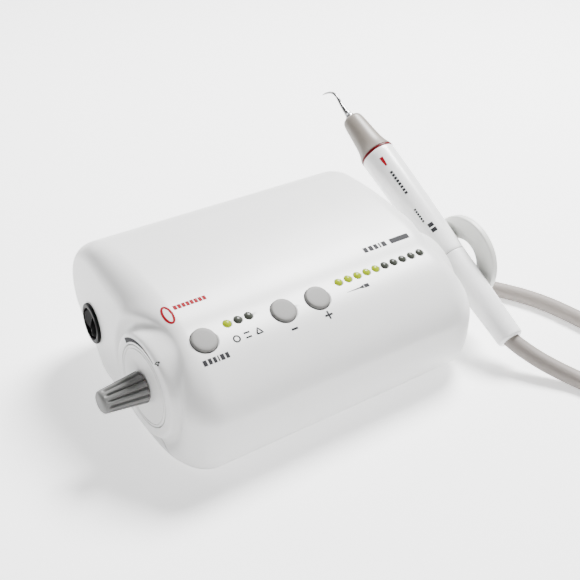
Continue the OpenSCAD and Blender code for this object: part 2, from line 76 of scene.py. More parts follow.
# ---------- materials ----------
TINTS = {m["slot"]: m["base_color"] for m in frame["record"]["materials"]}
# Tints that hold their tone in the bright studio around the object
TINTS.update({
    "shell_white": (0.774, 0.774, 0.768), "dial_white": (0.738, 0.738, 0.73),
    "holder_white": (0.72, 0.725, 0.695), "button_grey": (0.184, 0.181, 0.174),
    "knob_grey": (0.15, 0.15, 0.146), "nose_taupe": (0.205, 0.182, 0.158),
    "cable_silicone": (0.228, 0.204, 0.186), "gland_grey": (0.336, 0.32, 0.304),
    "ring_red": (0.095, 0.002, 0.004), "switch_black": (0.005, 0.005, 0.005),
    "led_lit": (0.2, 0.26, 0.0), "led_unlit": (0.05, 0.054, 0.045),
    "tip_steel": (0.3, 0.3, 0.3), "steel": (0.42, 0.43, 0.44),
})
ROUGH_SPAN = 0.06


def material(name, color, rough=0.4, metal=0.0, grain=900.0, bump=0.05, mottle=0.02,
             patch=40.0, **extra):
    """A moulded, machined or rubber surface: mottled colour, uneven gloss and fine grain."""
    made = bpy.data.materials.new(name)
    made.use_nodes = True
    nodes, links = made.node_tree.nodes, made.node_tree.links
    shader = nodes["Principled BSDF"]
    shader.inputs["Metallic"].default_value = metal
    shader.inputs["Specular IOR Level"].default_value = 0.5
    for key, value in extra.items():
        shader.inputs[key.replace("_", " ")].default_value = value
    place = nodes.new("ShaderNodeTexCoord")
    wide = nodes.new("ShaderNodeTexNoise")
    wide.inputs["Scale"].default_value = patch
    wide.inputs["Detail"].default_value = 4
    links.new(place.outputs["Object"], wide.inputs["Vector"])
    shade = nodes.new("ShaderNodeValToRGB")
    shade.color_ramp.elements[0].position = 0.3
    shade.color_ramp.elements[1].position = 0.7
    shade.color_ramp.elements[0].color = [c * (1 - mottle) for c in color[:3]] + [1]
    shade.color_ramp.elements[1].color = [min(1, c * (1 + mottle)) for c in color[:3]] + [1]
    links.new(wide.outputs["Fac"], shade.inputs["Fac"])
    links.new(shade.outputs["Color"], shader.inputs["Base Color"])
    gloss = nodes.new("ShaderNodeMapRange")
    gloss.inputs["To Min"].default_value = max(0.02, rough - ROUGH_SPAN)
    gloss.inputs["To Max"].default_value = min(1, rough + ROUGH_SPAN)
    links.new(wide.outputs["Fac"], gloss.inputs["Value"])
    links.new(gloss.outputs["Result"], shader.inputs["Roughness"])
    fine = nodes.new("ShaderNodeTexNoise")
    fine.inputs["Scale"].default_value = grain
    fine.inputs["Detail"].default_value = 3
    links.new(place.outputs["Object"], fine.inputs["Vector"])
    relief = nodes.new("ShaderNodeBump")
    relief.inputs["Strength"].default_value = bump
    relief.inputs["Distance"].default_value = 0.0002
    links.new(fine.outputs["Fac"], relief.inputs["Height"])
    links.new(relief.outputs["Normal"], shader.inputs["Normal"])
    return made


def streaked(name, color, rough, metal, stretch):
    """A turned or drawn surface whose fine lines run across one direction."""
    made = material(name, color, rough, metal, bump=0.12)
    nodes, links = made.node_tree.nodes, made.node_tree.links
    fine = [n for n in nodes if n.bl_idname == "ShaderNodeTexNoise"][1]
    place = [n for n in nodes if n.bl_idname == "ShaderNodeTexCoord"][0]
    scale = nodes.new("ShaderNodeMapping")
    scale.inputs["Scale"].default_value = stretch
    links.new(place.outputs["Object"], scale.inputs["Vector"])
    links.new(scale.outputs["Vector"], fine.inputs["Vector"])
    return made


LOOKS = {
    "shell_white": dict(rough=0.38, grain=1400, bump=0.05, mottle=0.008, Coat_Weight=0.15,
                        Coat_Roughness=0.3),
    "panel_grey": dict(rough=0.55, grain=1100, bump=0.12),
    "foot_rubber": dict(rough=0.8, grain=700, bump=0.25, mottle=0.1),
    "steel": dict(rough=0.28, metal=1.0, grain=1600, bump=0.06),
    "board_green": dict(rough=0.35, grain=500, bump=0.2, mottle=0.15),
    "ferrite_wrap": dict(rough=0.4, grain=300, bump=0.2, mottle=0.08),
    "copper_winding": dict(rough=0.35, metal=0.9, grain=350, bump=0.5, mottle=0.1),
    "sink_aluminium": dict(rough=0.42, metal=0.9, grain=1200, bump=0.1),
    "black_plastic": dict(rough=0.5, grain=1000, bump=0.12, mottle=0.15),
    "capacitor_sleeve": dict(rough=0.3, grain=600, bump=0.05, mottle=0.1),
    "button_grey": dict(rough=0.5, Specular_IOR_Level=0.3, grain=1500, bump=0.1, mottle=0.015),
    "dial_white": dict(rough=0.36, grain=1400, bump=0.05, mottle=0.008),
    "knob_grey": dict(rough=0.46, Specular_IOR_Level=0.3, grain=1300, bump=0.1, mottle=0.03),
    "brass": dict(rough=0.3, metal=1.0, grain=1500, bump=0.06),
    "black_rubber": dict(rough=0.6, grain=900, bump=0.1, mottle=0.1),
    "switch_black": dict(rough=0.42, grain=1500, bump=0.1, mottle=0.1, Specular_IOR_Level=0.06),
    "solenoid_blue": dict(rough=0.4, grain=900, bump=0.06, mottle=0.05),
    "hose_clear": dict(rough=0.2, grain=400, bump=0.03, Transmission_Weight=0.5),
    "holder_white": dict(rough=0.4, grain=1400, bump=0.05, mottle=0.01),
    "gland_grey": dict(rough=0.65, grain=900, bump=0.12, mottle=0.03),
    "cable_silicone": dict(rough=0.55, grain=1200, bump=0.1, mottle=0.03,
                           Specular_IOR_Level=0.35),
    "tie_black": dict(rough=0.9, grain=2600, bump=0.7, mottle=0.25, Sheen_Weight=0.3),
    "handpiece_white": dict(rough=0.26, grain=1500, bump=0.03, mottle=0.006, Coat_Weight=0.3,
                            Coat_Roughness=0.15),
    "contact_gold": dict(rough=0.25, metal=1.0, grain=1500, bump=0.05),
    "ring_red": dict(rough=0.35, Specular_IOR_Level=0.15, grain=1200, bump=0.03, mottle=0.04),
    "nose_taupe": dict(rough=0.4, grain=1500, bump=0.06, mottle=0.03),
    "light_guide": dict(rough=0.08, grain=600, bump=0.02, Transmission_Weight=0.9),
    "ceramic": dict(rough=0.5, grain=800, bump=0.1, mottle=0.04),
}


def lens_material(name, color, glow):
    """A clear moulded indicator lens, lit from behind when glow is above zero."""
    made = material(name, color, rough=0.18, grain=500, bump=0.03, mottle=0.06, patch=600,
                    Coat_Weight=0.03, Coat_Roughness=0.08, Specular_IOR_Level=0.15)
    if glow:
        nodes, links = made.node_tree.nodes, made.node_tree.links
        ramp = [n for n in nodes if n.bl_idname == "ShaderNodeValToRGB"][0]
        shader = nodes["Principled BSDF"]
        links.new(ramp.outputs["Color"], shader.inputs["Emission Color"])
        shader.inputs["Emission Strength"].default_value = glow
    return made


MATERIALS = {slot: material(slot, TINTS[slot], **look) for slot, look in LOOKS.items()}
MATERIALS["led_lit"] = lens_material("led_lit", TINTS["led_lit"], 1.0)
MATERIALS["led_unlit"] = lens_material("led_unlit", TINTS["led_unlit"], 0)
MATERIALS["tip_steel"] = streaked("tip_steel", TINTS["tip_steel"], 0.2, 1.0, (1, 1, 12))


def ink(name, color, mottle):
    """A flat printing ink."""
    return material(name, color, rough=0.6, Specular_IOR_Level=0.1, grain=1800, bump=0.05,
                    mottle=mottle)


INK = ink("ink_grey", (0.025, 0.025, 0.028), 0.08)
INK_RED = ink("ink_red", (0.24, 0.0, 0.008), 0.05)

for part in frame["record"]["subparts"]:
    shown = frame["nodes"][part["node"]]
    shown.data.materials.clear()
    shown.data.materials.append(MATERIALS[part["material_slot"]])

# ---------- mesh helpers ----------
SHARP = math.radians(32)


def new_object(name, points, faces, look, body, slot=None, matrix=None, replaces=()):
    """A mesh piece from design points, riding on a body."""
    if matrix is not None:
        points = [matrix @ Vector(p) for p in points]
    mesh = bpy.data.meshes.new(name)
    mesh.from_pydata([metres(p) for p in points], [], faces)
    made = bpy.data.objects.new(name, mesh)
    bpy.context.scene.collection.objects.link(made)
    tidy_normals(made)
    mesh.materials.append(look)
    if body:
        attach(made, body)
    if replaces:
        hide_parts(*replaces)
    return made


def tidy_normals(made):
    """Faces outwards, smooth except at real edges."""
    shape = bmesh.new()
    shape.from_mesh(made.data)
    bmesh.ops.remove_doubles(shape, verts=shape.verts, dist=1e-7)
    bmesh.ops.recalc_face_normals(shape, faces=shape.faces)
    shape.to_mesh(made.data)
    shape.free()
    for face in made.data.polygons:
        face.use_smooth = True
    made.data.set_sharp_from_angle(angle=SHARP)


def tube(rings):
    """Points and faces of a skin over rings of equal counts, open at both ends."""
    n = len(rings[0])
    points = [p for ring in rings for p in ring]
    faces = [(k + i, k + (i + 1) % n, k + n + (i + 1) % n, k + n + i)
             for k in range(0, n * (len(rings) - 1), n) for i in range(n)]
    return points, faces


def stacked(rings):
    """The same skin with a fan of faces on each end."""
    n = len(rings[0])
    points, faces = tube(rings)
    for k in (0, len(rings) - 1):
        hub = len(points)
        points.append(sum((Vector(p) for p in rings[k]), Vector()) / n)
        faces += [(hub, k * n + i, k * n + (i + 1) % n) for i in range(n)]
    return points, faces


def lathe(outline, steps=96):
    """Points and faces of an outline of (radius, height) turned round Z, open at both ends
    unless the outline starts and ends on the axis or closes on itself."""
    angles = [math.tau * i / steps for i in range(steps)]
    return tube([[(r * math.cos(a), r * math.sin(a), z) for a in angles] for r, z in outline])


def rounded(corners, radii, steps=5):
    """An outline whose corners are rounded by the given radii."""
    out = []
    for i, (corner, r) in enumerate(zip(corners, radii)):
        if r == 0 or i in (0, len(corners) - 1):
            out.append(tuple(corner))
            continue
        here = Vector(corner)
        a = Vector(corners[i - 1]) - here
        b = Vector(corners[i + 1]) - here
        cut = min(r, a.length * 0.5, b.length * 0.5)
        start, end = here + a.normalized() * cut, here + b.normalized() * cut
        for k in range(steps + 1):
            t = k / steps
            p = start * (1 - t) ** 2 + here * 2 * t * (1 - t) + end * t * t
            out.append((p.x, p.y))
    return out


def ring_outline(corners, radii, steps=5):
    """A closed outline, every corner rounded, for a turned ring that has a hole."""
    looped = [corners[-1], *corners, corners[0]]
    out = rounded(looped, [0, *radii, 0], steps)[1:-1]
    return [*out, out[0]]


def turned_piece(name, outline, matrix, slot, body, node, steps=96):
    """A turned piece in its slot's look, riding on a body and standing for a node."""
    new_object(name, *lathe(outline, steps), MATERIALS[slot], body, slot, matrix, (node,))


def merged(shapes):
    """Several (points, faces, matrix) shapes as one list of points and faces."""
    points, faces = [], []
    for more, more_faces, matrix in shapes:
        base = len(points)
        points += [matrix @ Vector(p) for p in more]
        faces += [tuple(base + i for i in f) for f in more_faces]
    return points, faces


def move(x, y, z):
    return Matrix.Translation((x, y, z))


def turn(degrees, axis):
    return Matrix.Rotation(math.radians(degrees), 4, axis)


def limited(value):
    """The value, held between 0 and 1."""
    return min(max(value, 0), 1)


def eased(share):
    """A share from 0 to 1 that starts and stops gently."""
    return share * share * (3 - 2 * share)


def bell(value, middle, width):
    """1 in the middle, fading to 0 on both sides."""
    return math.exp(-(((value - middle) / width) ** 2))


# ---------- the frames that pieces are built in ----------
BODY_LEN = 169.0
MID_Y, MID_Z = 27.0, 34.1
FRONT, REAR, TOP, LOW = 99.7, 45.6, 45.5, 41.5
# The outline's power in each quarter: rear top, front top, front bottom, rear bottom
POWERS = (1.76, 1.82, 3.56, 2.08)
WALL = 2.5
BASE_Z, SPLIT_Z = 2.5, 8.0
BOSS_Y, BOSS_Z = -28.7, 36.2
LEFT_X, RIGHT_X = -86.0, 85.0
PANEL_Y = -47.0
PANEL_U = (MID_Y - PANEL_Y) / FRONT
PANEL_Z = MID_Z + TOP * (1 - PANEL_U ** POWERS[1]) ** (1 / POWERS[1])
PANEL_TILT = 27.88
GRIP_SLOPE = 29.8
BUTTONS = {"option": -63.7, "minus": -21.2, "plus": -1.8}
BUTTON_R = 6.2
LED_R, LED_ROW, LED_PITCH = 2.0, 4.1, 5.73
MODE_X, LEVEL_X = -49.3, 13.8
ON_PANEL = move(0, PANEL_Y, PANEL_Z) @ turn(PANEL_TILT, "X")
ON_LEFT = move(LEFT_X, BOSS_Y, BOSS_Z) @ turn(90, "Y")
ON_SWITCH = move(-80.3, 34.4, 35.3) @ turn(-4.6, "Z") @ turn(90, "Y")
ON_GRIP = move(102, -78.5, 16) @ turn(GRIP_SLOPE - 90, "X")
ON_GLAND = move(0, 8, 17) @ turn(90, "Y")
ON_EAR = move(0, BOSS_Y, 39.5) @ turn(90, "Y")
ON_PIN = ON_SWITCH @ move(0, 0, 3.5)
FLIP = turn(180, "X")

# ---------- the cable ----------
CABLE_D = 8.8
COIL_X, COIL_Y = 150.0, -195.0
SUPPLY_ROUTE = [(84, 8, 17), (95, 8, 17), (106, 8, 17), (114, 8, 16.4), (122, 6, 13.8),
                (130, 0, 9.8), (138, -9, 6), (145, -18, 4.5), (151, -29, 4.4), (156, -40, 4.4),
                (160, -54, 4.4), (162, -70, 4.4), (163.4, -88, 4.4), (164.8, -102, 4.4),
                (168.8, -115.5, 4.4), (175.3, -128, 4.4), (184.2, -139, 4.4), (193, -150, 4.4),
                (199.5, -162.5, 4.4), (203.5, -176, 4.4), (204.8, -190, 4.4)]
RETURN_ROUTE = [(101, -170.4, 13.2), (105, -162.4, 11.6), (109.2, -154, 9), (113.4, -146.2, 6.6),
                (117, -136.1, 4.8), (118.2, -126, 4.4), (117.4, -118, 4.5), (115.4, -111, 5.1),
                (111.8, -103, 6.9), (108, -95, 9.4), (104.6, -86.3, 12.5), (102, -78.5, 16),
                (102, -75, 18)]
COIL_OUT, COIL_IN = 54.8, 37.2
LAYER_TURNS, RISE_TURNS = 2.5, 0.5
COIL_TURNS = 5.574
POINTS_A_TURN = 18
STRAP_HALF, STRAP_HIGH, STRAP_CORNER = 13.6, 18.4, 5.0
STRAP_LOW, STRAP_LIFT = 0.5, 0.05
STRAP_THICK, STRAP_WIDTH = 0.9, 13.0


def coil_route():
    """The wound length: a spiral in on the table, a rise, and a spiral out on top of it."""
    route = []
    count = round(COIL_TURNS * POINTS_A_TURN)
    for i in range(1, count):
        turns = COIL_TURNS * i / count
        inwards = min(turns / LAYER_TURNS, 1)
        rise = eased(limited((turns - LAYER_TURNS) / RISE_TURNS))
        outwards = max(turns - LAYER_TURNS - RISE_TURNS, 0)
        outwards /= COIL_TURNS - LAYER_TURNS - RISE_TURNS
        radius = COIL_OUT - (COIL_OUT - COIL_IN) * (inwards - outwards)
        angle = -math.tau * turns
        route.append((COIL_X + radius * math.cos(angle), COIL_Y + radius * math.sin(angle),
                      CABLE_D / 2 + CABLE_D * rise))
    return route


def smooth_route(route, cuts=3):
    """The route with a few points between each two, on one smooth curve through them."""
    p = [Vector(q) for q in route]
    out = [p[0]]
    for i in range(len(p) - 1):
        a, b, c, d = p[max(i - 1, 0)], p[i], p[i + 1], p[min(i + 2, len(p) - 1)]
        for k in range(1, cuts + 1):
            t = k / cuts
            out.append(0.5 * (2 * b + (c - a) * t + (2 * a - 5 * b + 4 * c - d) * t * t
                              + (3 * b - a - 3 * c + d) * t ** 3))
    return out


def swept(route, radius_at, sides=24, guide=Vector((0, 0, 1))):
    """A tube round a route: a ring at each point, square to it, without twist."""
    rings = []
    side = None
    for i, centre in enumerate(route):
        ahead = (route[min(i + 1, len(route) - 1)] - route[max(i - 1, 0)]).normalized()
        side = ahead.cross(guide).normalized() if side is None else (
            side - ahead * side.dot(ahead)).normalized()
        upward = ahead.cross(side)
        r = radius_at(i / (len(route) - 1))
        rings.append([centre + r * (side * math.cos(a) + upward * math.sin(a))
                      for a in (math.tau * k / sides for k in range(sides))])
    return stacked(rings)


def strap_ring(x, out):
    """One edge of the strap round the coil's section, moved out by its thickness or by none."""
    section = [(-STRAP_HALF, STRAP_LOW), (STRAP_HALF, STRAP_LOW), (STRAP_HALF, STRAP_HIGH),
               (-STRAP_HALF, STRAP_HIGH)]
    middle = Vector((COIL_X, COIL_Y - (COIL_OUT + COIL_IN) / 2, STRAP_LIFT))
    return [middle + Vector((x, y * (1 + out / STRAP_HALF),
                             max(z - STRAP_LOW, 0) * (1 + out / STRAP_HIGH)))
            for y, z in ring_outline(section, [STRAP_CORNER] * 4, 8)[:-1]]


def build_cable():
    route = smooth_route([*SUPPLY_ROUTE, *coil_route(), *RETURN_ROUTE])
    points, faces = swept(route, lambda s: CABLE_D / 2, 20)
    cable = new_object("handpiece_cable", points, faces, MATERIALS["cable_silicone"], "console",
                       "cable_silicone",
                       replaces=("cable_supply_run", "cable_coil", "cable_return_run"))
    half = STRAP_WIDTH / 2
    edges = [(-half, 0), (half, 0), (half, STRAP_THICK), (-half, STRAP_THICK), (-half, 0)]
    points, faces = tube([strap_ring(x, out) for x, out in edges])
    tie = new_object("cable_strap", points, faces, MATERIALS["tie_black"], "console",
                     "tie_black", replaces=("cable_tie",))
    in_metres = [metres(p) for p in route]
    tuple(metres(SUPPLY_ROUTE[2]))


build_cable()

# ---------- the housing ----------
# How far the ends roll over in the middle of each quarter, and where that middle is
ROUNDS = (7.6, 16.4, 15.0, 35.0)
CORNERS = (45, 135, 225, 315)
END_BOW, BOW_START = 4.0, -67.0
CREASE_Y = -41.0
BOSS_FLAT, BOSS_ROLL = 23.2, 2.8
# A boss shapes the skin within this radius, and beyond this distance from the middle
BOSS_REACH, BOSS_FROM_X = 40, 60


def signed_power(value, power):
    return math.copysign(abs(value) ** power, value)


def profile(t, inset):
    """A point of the housing's outline seen from its end, at angle t in degrees."""
    power = POWERS[int(t // 90) % 4]
    c, s = math.cos(math.radians(t)), math.sin(math.radians(t))
    y = MID_Y + signed_power(c, 2 / power) * ((REAR if c > 0 else FRONT) - inset)
    z = MID_Z + signed_power(s, 2 / power) * ((TOP if s > 0 else LOW) - inset)
    return y, z


def end_x(y):
    """Half the housing's length at a depth: the ends bow in towards the rear."""
    return BODY_LEN / 2 - END_BOW * ((y - BOW_START) / 100) ** 2


def corner_round(t):
    """How far an end rolls over at an angle of the outline."""
    return sum(r * max(0, math.cos(math.radians(t - c))) ** 2 for r, c in zip(ROUNDS, CORNERS))


def boss_x(radius, plane):
    """The round boss on an end face: flat to its rim, rolled over, then falling away."""
    over = radius - BOSS_FLAT
    if over <= 0:
        return plane
    if over < BOSS_ROLL:
        return plane - (BOSS_ROLL - math.sqrt(BOSS_ROLL ** 2 - over * over)) * 0.9
    return plane - BOSS_ROLL * 0.9 - 3 * (over - BOSS_ROLL)


def soft_max(a, b, width):
    """The larger of two values, with a rounded change from one to the other."""
    h = limited(0.5 + 0.5 * (b - a) / width)
    return a * (1 - h) + b * h + width * h * (1 - h)


def raise_ends(point, side):
    """Pulls an end's skin out to the boss, with a soft valley round it."""
    x, y, z = point
    radius = math.hypot(y - BOSS_Y, z - BOSS_Z)
    plane = -LEFT_X if side < 0 else RIGHT_X
    if radius > BOSS_REACH or abs(x) < BOSS_FROM_X:
        return point
    valley = 1.9 * bell(radius, 28.4, 2.4)
    swell = 0.5 * bell(radius, 34.0, 3.0)
    out = soft_max(abs(x) - valley + swell, boss_x(radius, plane), 1.3)
    return side * min(out, plane), y, z


def crease(x, y, z):
    """How far the panel's skin moves out: a soft valley at the indicators, fuller round it."""
    if z < MID_Z:
        return 0.0
    valley = -0.55 * bell(y, CREASE_Y, 5.0)
    roll = 0.5 * bell(y, CREASE_Y - 13, 8.0) + 0.3 * bell(y, CREASE_Y + 13, 9.0)
    return (valley + roll) * limited((90 - abs(x)) / 12)


PROFILE_STEPS = 288
FINE_STEPS = 2880
LEANS = [math.radians(90 * k / 32) for k in range(33)]
FACE_SPOTS = [(k / 6, 0) for k in range(1, 7)] + [(1, k / 16) for k in range(1, 17)]
BODY_RINGS = 46


def profile_angles(steps):
    """Angles spread so that the outline's points lie evenly along it."""
    fine = [360 * k / FINE_STEPS for k in range(FINE_STEPS + 1)]
    places = [Vector(profile(t % 360, 0)) for t in fine]
    along = [0.0]
    for a, b in zip(places, places[1:]):
        along.append(along[-1] + (b - a).length)
    out, k = [], 0
    for i in range(steps):
        want = along[-1] * i / steps
        while along[k + 1] < want:
            k += 1
        share = (want - along[k]) / max(along[k + 1] - along[k], 1e-9)
        out.append(fine[k] + share * (fine[k + 1] - fine[k]))
    return out


def housing_skin(skin, steps, body_rings, detailed):
    """Rings of the housing's skin from one end's hub to the other's."""
    angles = profile_angles(steps)

    def end_point(side, y, z):
        point = (side * (end_x(y) - skin), y, z)
        return raise_ends(point, side) if detailed else point

    def rounded_ring(side, lean):
        ring = []
        for t in angles:
            r = max(corner_round(t) - skin, 3)
            y, z = profile(t, skin + r * (1 - math.cos(lean)))
            point = (side * (end_x(y) - skin - r * (1 - math.sin(lean))), y, z)
            ring.append(raise_ends(point, side) if detailed else point)
        return ring

    def face_rings(side):
        """Rings on the flat of an end, close together where the boss rolls over."""
        rim = rounded_ring(side, math.pi / 2)
        rings = []
        for share_in, share_mid in FACE_SPOTS:
            ring = []
            for x, y, z in rim:
                away = Vector((y - BOSS_Y, z - BOSS_Z))
                far = away.length
                near = min(19.0, 0.6 * far) * share_in
                middle = min(34.0, 0.97 * far)
                spot = away * ((near + (middle - near) * share_mid) / far)
                ring.append(end_point(side, BOSS_Y + spot.x, BOSS_Z + spot.y))
            rings.append(ring)
        last = rings[-1]
        for k in range(1, 12):
            between = [Vector(a[1:]).lerp(Vector(b[1:]), k / 12) for a, b in zip(last, rim)]
            rings.append([end_point(side, p.x, p.y) for p in between])
        return rings

    leans = LEANS if detailed else LEANS[::8]
    left = face_rings(-1) if detailed else []
    left += [rounded_ring(-1, lean) for lean in reversed(leans)]
    right = [rounded_ring(1, lean) for lean in leans]
    if detailed:
        right += list(reversed(face_rings(1)))
    middle = []
    for k in range(1, body_rings):
        share = k / body_rings
        middle.append([tuple(Vector(a).lerp(Vector(b), share)) for a, b in zip(left[-1], right[0])])
    rings = left + middle + right
    if not detailed:
        return rings
    return [[pushed(ring, i) for i in range(len(ring))] for ring in rings]


def pushed(ring, i):
    """A point of a ring, moved along the outline's normal by the crease."""
    x, y, z = point = ring[i]
    amount = crease(x, y, z)
    if abs(amount) < 1e-4:
        return point
    before, after = ring[i - 1], ring[(i + 1) % len(ring)]
    along = Vector((after[1] - before[1], after[2] - before[2]))
    if along.length < 1e-9:
        return point
    normal = Vector((along.y, -along.x)).normalized()
    depth = limited((-LEFT_X - 1.5 - abs(x)) / 8)
    return x, y + normal.x * amount * depth, z + normal.y * amount * depth


def apply_step(target):
    """Turns the target's one modifier into its mesh."""
    view = bpy.context.evaluated_depsgraph_get()
    view.update()
    result = bpy.data.meshes.new_from_object(target.evaluated_get(view))
    target.modifiers.clear()
    old = target.data
    target.data = result
    bpy.data.meshes.remove(old)


def boolean(target, tool, operation="DIFFERENCE"):
    """Cuts the tool out of the target, or joins it, and deletes the tool."""
    step = target.modifiers.new("cut", "BOOLEAN")
    step.operation = operation
    step.object = tool
    step.solver = "MANIFOLD"
    apply_step(target)
    bpy.data.objects.remove(tool)


def softened(target, width):
    """A rolled edge on every sharp edge of a piece."""
    step = target.modifiers.new("soft", "BEVEL")
    step.width = width * MM
    step.segments = 4
    step.limit_method = "ANGLE"
    step.angle_limit = math.radians(40)
    apply_step(target)


def copied(source, name):
    """A copy of a piece, with a mesh of its own."""
    made = source.copy()
    made.data = source.data.copy()
    made.name = name
    bpy.context.scene.collection.objects.link(made)
    return made


def settle(made, body, slot, node):
    """A cut piece made ready: its look and edges, the body it rides on, the node it replaces."""
    made.data.materials.clear()
    made.data.materials.append(MATERIALS[slot])
    tidy_normals(made)
    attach(made, body)
    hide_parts(node)


def tool_piece(points, faces, matrix=None):
    """A piece to cut or join with, which rides on no body."""
    return new_object("tool", points, faces, MATERIALS["shell_white"], None, matrix=matrix)


def rod_tool(radius, low, high, matrix, steps=96):
    """A plain round cutter along the matrix's Z."""
    return tool_piece(*lathe([(0, low), (radius, low), (radius, high), (0, high)], steps), matrix)


def hole_tool(radius, low, mouth, matrix, flare, steps=64):
    """A cutter for a round hole whose mouth is broken by a small flare."""
    wide = radius + 1.2 * flare
    outline = [(0, low), (radius, low), (radius, mouth - flare),
               (radius + 0.15 * flare, mouth - 0.55 * flare),
               (radius + 0.5 * flare, mouth - 0.18 * flare),
               (wide, mouth + 0.02), (wide, mouth + 8), (0, mouth + 8)]
    return tool_piece(*lathe(outline, steps), matrix)


def box_tool(low, high, radius=0.0, matrix=None):
    """A box cutter or block, its four edges along Y rounded."""
    x0, y0, z0 = low
    x1, y1, z1 = high
    outline = ring_outline([(x0, z0), (x1, z0), (x1, z1), (x0, z1)], [radius] * 4, 8)[:-1]
    rings = [[(x, y, z) for x, z in outline] for y in (y0, y1)]
    return tool_piece(*stacked(rings), matrix)


def skin_hit(bvh, origin, direction):
    """Where a ray from a design point meets the housing, in design millimetres."""
    return bvh.ray_cast(metres(origin), direction)[0] / MM - SHIFT


def panel_height(bvh, x, row):
    """How high the housing's skin lies over the panel's plane at a spot."""
    start = 20
    top = ON_PANEL @ Vector((x, row, start))
    down = ON_PANEL.to_3x3() @ Vector((0, 0, -1))
    return start - (top - skin_hit(bvh, top, down)).length


def build_housing():
    rings = housing_skin(0, PROFILE_STEPS, BODY_RINGS, True)
    outer = tool_piece(*stacked(rings))
    inner = tool_piece(*stacked(housing_skin(WALL, 72, 3, False)))
    outer.name = "upper_housing"
    bvh = BVHTree.FromObject(outer, bpy.context.evaluated_depsgraph_get())
    lower = copied(outer, "lower_housing")
    hollow = copied(inner, "hollow")
    boolean(hollow, box_tool((-130, -130, -60), (130, 130, BASE_Z + 2.2)))
    boolean(outer, inner)
    boolean(outer, box_tool((-130, -130, -30), (130, 130, SPLIT_Z)))
    boolean(lower, box_tool((-130, -130, SPLIT_Z - 0.35), (130, 130, 200)))
    boolean(lower, box_tool((-130, -130, -60), (130, 130, BASE_Z)))
    boolean(lower, hollow)

    def panel_hole(x, row, radius, flare):
        mouth = panel_height(bvh, x, row)
        boolean(outer, hole_tool(radius, -9, mouth, ON_PANEL @ move(x, row, 0), flare))

    for x in BUTTONS.values():
        panel_hole(x, 0, BUTTON_R + 0.3, 0.45)
    for x in led_places():
        panel_hole(x, LED_ROW, LED_R + 0.12, 0.3)
    boolean(outer, hole_tool(20.15, -2.0, 0, ON_LEFT @ FLIP, 0.35, 128))
    boolean(outer, hole_tool(5.2, -20, -1, ON_LEFT @ FLIP, 0.2))
    boolean(outer, hole_tool(9.5, -8, 0, ON_SWITCH @ FLIP, 0.2, 96))
    boolean(outer, hole_tool(6.7, 70, 84, ON_GLAND, 0.2))
    boolean(outer, box_tool((-47, 60, 13), (47, 90, 45), 4.0))
    boolean(outer, box_tool((-45, 40, 15), (45, 61, 43), 3.0))
    settle(outer, "console", "shell_white", "upper_shell")
    settle(lower, "console", "shell_white", "base_plate")
    return bvh


def led_places():
    """The indicators' x: three for the mode, then ten for the level."""
    return [MODE_X + i * LED_PITCH for i in range(3)] + [LEVEL_X + i * LED_PITCH for i in range(10)]


skin_bvh = build_housing()

# ---------- printed marks ----------
PRINT_START, PRINT_LIFT = 8.0, 0.09


def lifted(bvh, matrix, spot):
    """A point of a mark, laid on the housing's skin under a spot of its own plane."""
    down = (matrix.to_3x3() @ Vector((0, 0, -1))).normalized()
    start = matrix @ Vector((spot[0], spot[1], PRINT_START))
    return skin_hit(bvh, start, down) - down * PRINT_LIFT


def ribbon(points, widths):
    """The two edges of a stroke of changing width."""
    left, right = [], []
    for i, p in enumerate(points):
        a, b = Vector(points[max(i - 1, 0)]), Vector(points[min(i + 1, len(points) - 1)])
        ahead = (b - a).normalized()
        side = Vector((-ahead.y, ahead.x)) * widths[i] / 2
        left.append(Vector(p) + side)
        right.append(Vector(p) - side)
    return left, right


def stroke(points, width, cuts):
    """A stroke as short pieces, so that it can follow a curved surface. Its width is one
    number, or a list with one for each point."""
    wide = width if isinstance(width, list) else [width] * len(points)
    path, widths = [], []
    for k in range(len(points) - 1):
        a, b = Vector(points[k]), Vector(points[k + 1])
        for i in range(cuts):
            path.append(a.lerp(b, i / cuts))
            widths.append(wide[k] + (wide[k + 1] - wide[k]) * i / cuts)
    path.append(Vector(points[-1]))
    widths.append(wide[-1])
    return path, widths


def loop(x, y, half_x, half_y, steps=24):
    """The points of a closed ellipse."""
    angles = [math.tau * i / steps for i in range(steps + 1)]
    return [(x + half_x * math.cos(a), y + half_y * math.sin(a)) for a in angles]


def mark(name, strokes, laid, look, body="console"):
    """A printed mark: strokes of (path, widths) laid point by point on a surface."""
    points, faces = [], []
    for path, widths in strokes:
        left, right = ribbon(path, widths)
        base = len(points)
        for a, b in zip(left, right):
            points += [laid(a), laid(a.lerp(b, 0.5)), laid(b)]
        for i in range(len(path) - 1):
            k = base + 3 * i
            faces += [(k, k + 3, k + 4, k + 1), (k + 1, k + 4, k + 5, k + 2)]
    return new_object(name, points, faces, look, body)


def blocks(x, y, widths, height, gap):
    """A row of plain upright blocks, as long as a line of lettering would be."""
    strokes = []
    for w in widths:
        strokes.append(stroke([(x, y), (x + w, y)], height, 2))
        x += w + gap
    return strokes


